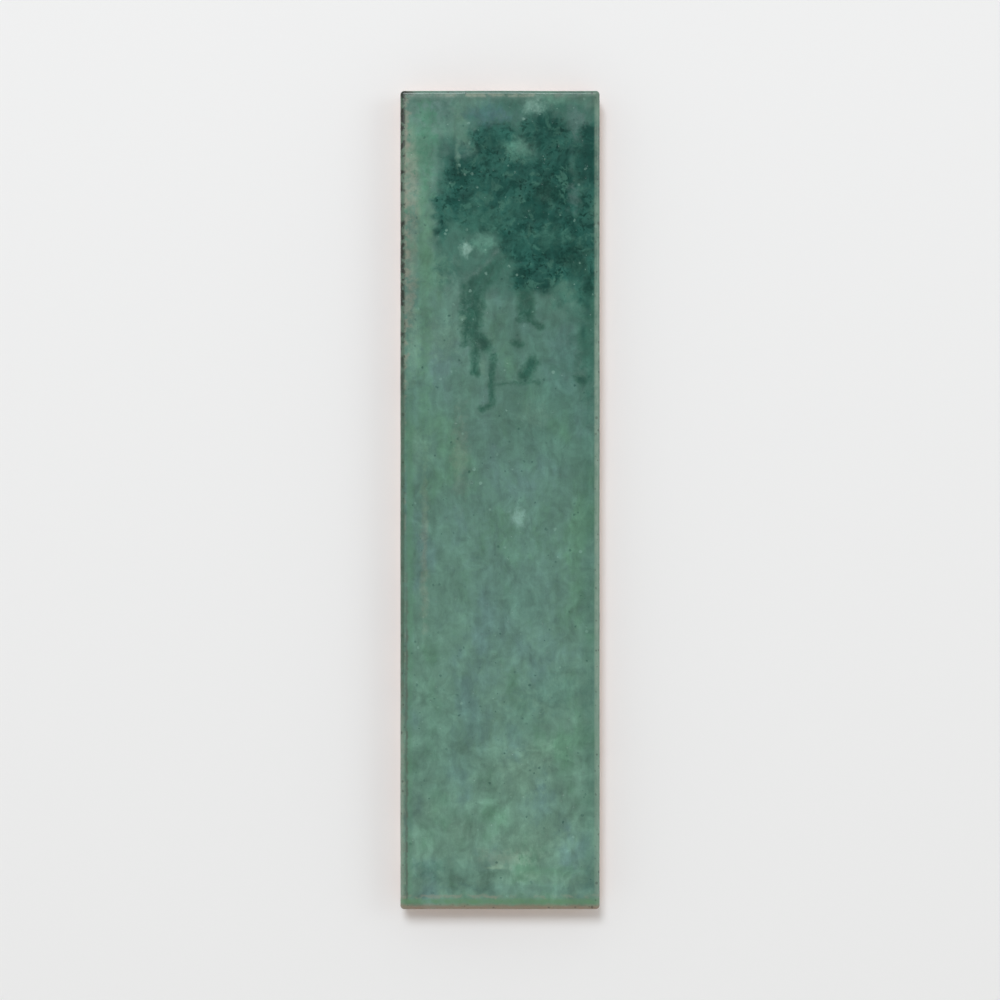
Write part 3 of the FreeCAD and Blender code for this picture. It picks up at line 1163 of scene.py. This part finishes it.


# %% The left rim: a rosy strip, a darker line in its lower half, and on the arris painted highlight low down and painted shade high up
def left_rim(rim, colour):
    n = rim.n
    reach = n.times(n.slope(rim.patchy, 0.35, 0.65, 0.8, 3.6), n.plus(0.4, n.times(rim.high, 0.6)))
    strip = n.times(rim.left, n.ramp(n.less(rim.edge, reach), 1.1, -0.9))
    colour = rim.lay(strip, colour, ROSY, 0.25, 0.8)
    leafy = n.times(rim.left, rim.line(rim.edge, 3, 1.3, 0.6), rim.lower)
    colour = rim.lay(leafy, colour, LEAF, 0.3, 0.7)
    # A darker grey-green line about 2 mm in from the edge, in the lower half
    dark_inner_line = rim.line(rim.edge, n.slope(rim.patchy, 0.3, 0.7, 1.6, 2.3), 0.65, 0.8)
    dark_inner_line = n.times(dark_inner_line, rim.left, n.ramp(rim.along, 0, -50))
    colour = rim.lay(dark_inner_line, colour, UMBER, 0.4, 1)
    # Painted highlight: the lower left arris is pale, as a lit round would be
    pale = n.times(rim.left, n.ramp(rim.edge, 1.5, 0.8), n.ramp(rim.along, -40, -90))
    colour = rim.lay(pale, colour, BUFF_HIGHLIGHT, 0.5, 1)
    # Painted shade: the left arris is darker high up, on the side turned from the light
    arris_shade = n.times(rim.left, n.ramp(rim.edge, 1.7, 0.9), n.ramp(rim.along, -80, -40, 0.2, 1))
    return rim.lay(arris_shade, colour, MOSS, 0.5, 1)


# %% The right rim: a painted highlight line along the arris, darker inside it
def right_rim(rim, colour):
    n = rim.n
    strip = n.times(n.ramp(rim.across, 22.5, 27), rim.lower)
    colour = rim.lay(strip, colour, WASH_TEAL, 0.1, 0.35)
    middle = n.ramp(n.apart(rim.along, -5), 100, 30, 0.65, 1)
    # Painted highlight: a pale line along the right arris, standing in for the glossy round catching
    # light
    pale = n.times(n.ramp(rim.across, 24, 29), rim.line(rim.edge, 1, 1, 0.7), middle)
    return rim.lay(pale, colour, BUFF_HIGHLIGHT, 0.5, 0.95)


# %% The top rim: painted shade over it, and pale glints along its middle, partly thin glaze and partly painted highlight
def top_rim(rim, colour):
    n = rim.n
    top = n.ramp(rim.along, 116, 121)
    # Painted shade: a darker top rim, to tone down the lamp's highlight there
    colour = rim.lay(n.times(top, n.ramp(rim.edge, 4.6, 1.3)), colour, MOSS, 0.2, 0.4)
    # Pale glints: partly thin glaze, partly painted highlight
    glints = n.ramp(n.apart(rim.across, -1), 20, 12, 0.2, 1)
    glints = n.times(glints, n.ramp(rim.patchy, 0.42, 0.58, 0.1, 0.6))
    glints = n.times(top, rim.line(rim.edge, 1.5, 0.9, 0.9), glints)
    return rim.lay(glints, colour, BISQUE, 0.7, 1)


# %% The foot: green, then one rosy line in traces, and tan at the arris
def foot_rim(rim, colour):
    n = rim.n
    way_in = n.plus(rim.along, half_y)
    colour = rim.lay(rim.line(way_in, 2.5, 1.5, 0.9), colour, GRASS, 0.4, 0.9)
    traces = n.ramp(n.noise(n.shifted(rim.flat, 0, 0, 2.3), 5), 0.38, 0.54)
    rosy = rim.line(way_in, n.slope(rim.patchy, 0.3, 0.7, 4.7, 3.5), 0.8, 0.9)
    colour = rim.lay(n.times(rosy, traces), colour, ROSY, 0.25, 0.6)
    ragged = n.plus(way_in, n.slope(rim.patchy, 0.3, 0.7, -0.4, 0.4))
    face = tile_thick / MM
    down = n.ramp(n.part(rim.place, "Z"), face - 1.1, face - 2.4, 1, 0.4)
    return rim.lay(n.times(n.ramp(ragged, 2.2, 0.7), down), colour, TAN, 0.7, 1)


# %% Charred dashes at the left and iron specks all round
def iron_rim(rim, colour):
    n = rim.n
    dashes = n.ramp(n.noise(n.stretched(rim.place, 0.5, 0.45, 0.5), 1.8, 3, 0.7), 0.48, 0.56)
    charred = n.times(dashes, rim.left, n.ramp(n.less(rim.edge, n.times(rim.patchy, 1.6)), 1.2, 0))
    charred = n.times(charred, n.plus(0.12, n.times(rim.high, 0.88)))
    iron = specks(n, clay_specks, rim.place, 1, 0.4, 0.16)
    irony = n.either(charred, n.times(iron, n.ramp(rim.edge, 2.2, 0.6), 0.6))
    return n.mix(n.times(irony, 0.9), colour, IRON)


# %% The group of the rim
def rim_tree():
    """The glaze's colour, with each side's rim laid over it."""
    n, given, result = new_tree(
        "glaze_rim", "ShaderNodeTree",
        {"Place": "vector", "Edge": "float", "Glaze": "colour"}, {"Colour": "colour"})
    rim = Rim(n, given["Place"], given["Edge"])
    colour = given["Glaze"]
    for lay_side in (left_rim, right_rim, top_rim, foot_rim, iron_rim):
        colour = lay_side(rim, colour)
    n.give(result["Colour"], colour)
    return n.tree


glaze_rim = rim_tree()
print(f"{glaze_rim.name}: {len(glaze_rim.nodes)} nodes")

# %% [markdown]
# ## The finish of the glaze
#
# All of it now comes together in one material: ground, wash, drips, pool, touches, crystals
# and rim, in that order, and scorched clay below the glaze's end. What sets glaze apart from
# paint is the gloss, which is wettest in the pool and dull where it is thin, and the pinholes
# that gas left on its way out. Those are too small for the mesh, so a bump makes them.

# %% Crystals and dots
def lay_crystals(n, colour, flat, wash):
    """Pale crystals, most in the pool, and fine dark dots: where one is thick the other is rare."""
    drift = n.slope(n.noise(flat, 10), 0.35, 0.65, 0, 1)
    sprinkled = n.noise(flat, 1.4, 1)
    shifted = n.shifted(wandering(n, flat, 1.6, 0.8), 40, 9, 0)
    share = n.times(drift, n.slope(wash, 0, 1, 0.03, 0.11))
    crystals = specks(n, face_specks, shifted, 1.9, 0.4, share)
    colour = n.mix(n.times(crystals, n.ramp(sprinkled, 0.35, 0.65, 0.1, 0.45)), colour, FROST)
    dots = specks(n, face_specks, n.scaled(shifted, 0.83), 1.5, 0.28, n.times(n.rest(drift), 0.12))
    return n.mix(n.times(dots, n.ramp(sprinkled, 0.35, 0.65, 0.5, 0.15)), colour, TEAL_DEEP)


# %% Gloss, as the roughness of the face, what the pool takes off and what a thin rim adds
FACE_ROUGHNESS = (0.17, 0.27)
POOL_WET = 0.1
RIM_DULL = (0.1, 0.4)


def glaze_roughness(n, flat, pool, edge):
    """Wettest in the pool, dull in patches where the glaze is thin."""
    face = n.slope(n.noise(flat, 3, 5, 0.65), 0.3, 0.7, *FACE_ROUGHNESS)
    gloss = n.less(face, n.times(pool, POOL_WET))
    dull = n.slope(n.noise(flat, 2, 3), 0.35, 0.65, *RIM_DULL)
    return n.plus(gloss, n.times(n.ramp(edge, 1.3, 0.4), dull))


# %% Orange peel and pinholes
PEEL_HEIGHT = 0.014
PINHOLE_DEPTH = 0.06


def glaze_height(n, flat):
    """The fine relief of the glaze, in mm."""
    peel = n.times(n.noise(flat, 1.8), PEEL_HEIGHT)
    return n.less(peel, n.times(specks(n, face_specks, flat, 5, 0.24, 0.35), PINHOLE_DEPTH))


# %% The material of the glaze
def finish_glaze():
    n, shader, place = start_finish(glaze_finish)
    flat = n.flat(place)
    flow = n.group(flow_tree("ShaderNodeTree"), {"Place": place})
    cover = n.group(cover_tree("ShaderNodeTree"), {"Place": place})
    clay = n.group(fired_clay, {"Place": place})
    ground = n.group(sage_ground, {"Place": place})
    wash = n.ramp(flow["Wash"], -2, 2.2)
    pool = n.ramp(flow["Pool"], -2, 1.6)
    colour = lay_wash(n, ground["Colour"], flow, wash, flat)
    colour = lay_drips(n, colour, flow, flat)
    colour = n.mix(pool, colour, pool_colour(n, flow["Pool"], flat, ground["Bent"]))
    colour = touched(n, wandering(n, flat, 4, 2, 1), colour, TOUCHES)
    colour = n.scaled(colour, ground["Light"])
    colour = lay_crystals(n, colour, flat, wash)
    colour = n.group(glaze_rim, {"Place": place, "Edge": cover["Edge"], "Glaze": colour})[0]
    # Below its end the glaze has scorched the bare clay
    scorched = n.mix(n.ramp(cover["Above"], -1.1, 0, 0, 0.6), clay["Colour"], BROWN)
    glazed = n.ramp(cover["Above"], -0.14, 0.14)
    n.give(shader["Base Color"], n.mix(glazed, scorched, colour))
    roughness = glaze_roughness(n, flat, pool, cover["Edge"])
    n.give(shader["Roughness"], n.blend(glazed, clay["Roughness"], roughness))
    n.give(shader["Normal"], bumped(n, n.blend(glazed, clay["Height"], glaze_height(n, flat))))
    print(f"{glaze_finish.name}: {len(n.tree.nodes)} nodes")


finish_glaze()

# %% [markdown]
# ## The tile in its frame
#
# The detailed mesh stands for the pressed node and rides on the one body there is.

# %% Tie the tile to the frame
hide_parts("wall_tile")
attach(tile, "root")
print(f"{tile.name} stands for wall_tile")

# %% [markdown]
# ## Floor, light and camera
#
# The tile lies on a plain pale floor. A broad lamp stands beyond the tile's top, as the light
# does in the photograph, so the upper rim catches it and the shadow is a short soft band
# below. A second, faint lamp stands low at the right. The studio's sky is bright all round
# and dim overhead: gloss looks at what is opposite, so a dim ceiling keeps the face's colour
# deep. The camera looks straight down, as the photograph looks straight at the wall.

# %% The floor
FLOOR = screen(239, 240, 240)
FLOOR_REACH = 4
FLOOR_ROUGHNESS = 0.9
FLOOR_SHEEN = 0.2


def make_floor():
    mesh = bpy.data.meshes.new("floor")
    corners = [(-1, -1), (1, -1), (1, 1), (-1, 1)]
    points = [(x * FLOOR_REACH, y * FLOOR_REACH, 0) for x, y in corners]
    mesh.from_pydata(points, [], [(0, 1, 2, 3)])
    floor = bpy.data.objects.new("floor", mesh)
    bpy.context.scene.collection.objects.link(floor)
    material = bpy.data.materials.new("floor")
    shader = start_finish(material)[1]
    shader["Base Color"].default_value = FLOOR
    shader["Roughness"].default_value = FLOOR_ROUGHNESS
    shader["Specular IOR Level"].default_value = FLOOR_SHEEN
    mesh.materials.append(material)
    floor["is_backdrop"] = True
    print(f"floor {2 * FLOOR_REACH} m across")


make_floor()

# %% The sky of the studio
SKY_ROUND = 1.2
SKY_OVERHEAD = 0.18
SKY_TINT = (1.03, 0.985, 0.93, 1)


def make_sky():
    world = bpy.data.worlds.new("studio")
    world.use_nodes = True
    n = Recipe(world.node_tree)
    up = n.part(n.add("ShaderNodeTexCoord").outputs["Generated"], "Z")
    background = world.node_tree.nodes["Background"].inputs
    n.give(background["Strength"], n.slope(up, 0, 1, SKY_ROUND, SKY_OVERHEAD))
    background["Color"].default_value = SKY_TINT
    bpy.context.scene.world = world
    print(f"sky {SKY_ROUND} at the horizon and {SKY_OVERHEAD} overhead")


make_sky()

# %% Two lamps
LAMP_TINT = (0.97, 1.01, 1.07)


def make_lamp(name, place, size, share):
    """A square lamp that gives the tile its share of a plain level of light."""
    lamp = bpy.data.lights.new(name, "AREA")
    lamp.size = size
    place = Vector(place)
    # Light thins with the square of the distance, and over the floor by how low the lamp is
    lamp.energy = share * math.pi ** 2 * place.length_squared * place.length / place.z
    lamp.color = LAMP_TINT
    lamp_object = bpy.data.objects.new(name, lamp)
    lamp_object.location = place
    lamp_object.rotation_euler = (-place).to_track_quat("-Z", "Y").to_euler()
    bpy.context.scene.collection.objects.link(lamp_object)
    print(f"{name}: {lamp.energy:.1f} W")


make_lamp("window_above", (-0.35, 1.25, 2.25), size=0.85, share=0.42)
make_lamp("window_right", (2, 0.4, 1.5), size=1, share=0.05)

# %% The camera
LENS = 85
FRAME_SHARE = 0.82


def make_camera():
    """Straight above the tile, so far off that its length takes up its share of the frame."""
    data = bpy.data.cameras.new("camera")
    data.lens = LENS
    camera = bpy.data.objects.new("camera", data)
    half_angle = math.atan(data.sensor_width / 2 / LENS)
    distance = tile_length / FRAME_SHARE / 2 / math.tan(half_angle)
    camera.location = (0, 0, tile_thick + distance)
    bpy.context.scene.collection.objects.link(camera)
    bpy.context.scene.camera = camera
    print(f"camera {distance:.3f} m above the face")


make_camera()
bpy.context.scene.view_settings.view_transform = "Standard"

# %% Compare sizes and finish
visual_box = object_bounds()
for label, (low, high) in (("pressed", cad_box), ("glazed", visual_box)):
    print(label, [f"{(b - a) / MM:.2f}" for a, b in zip(low, high)], "mm")
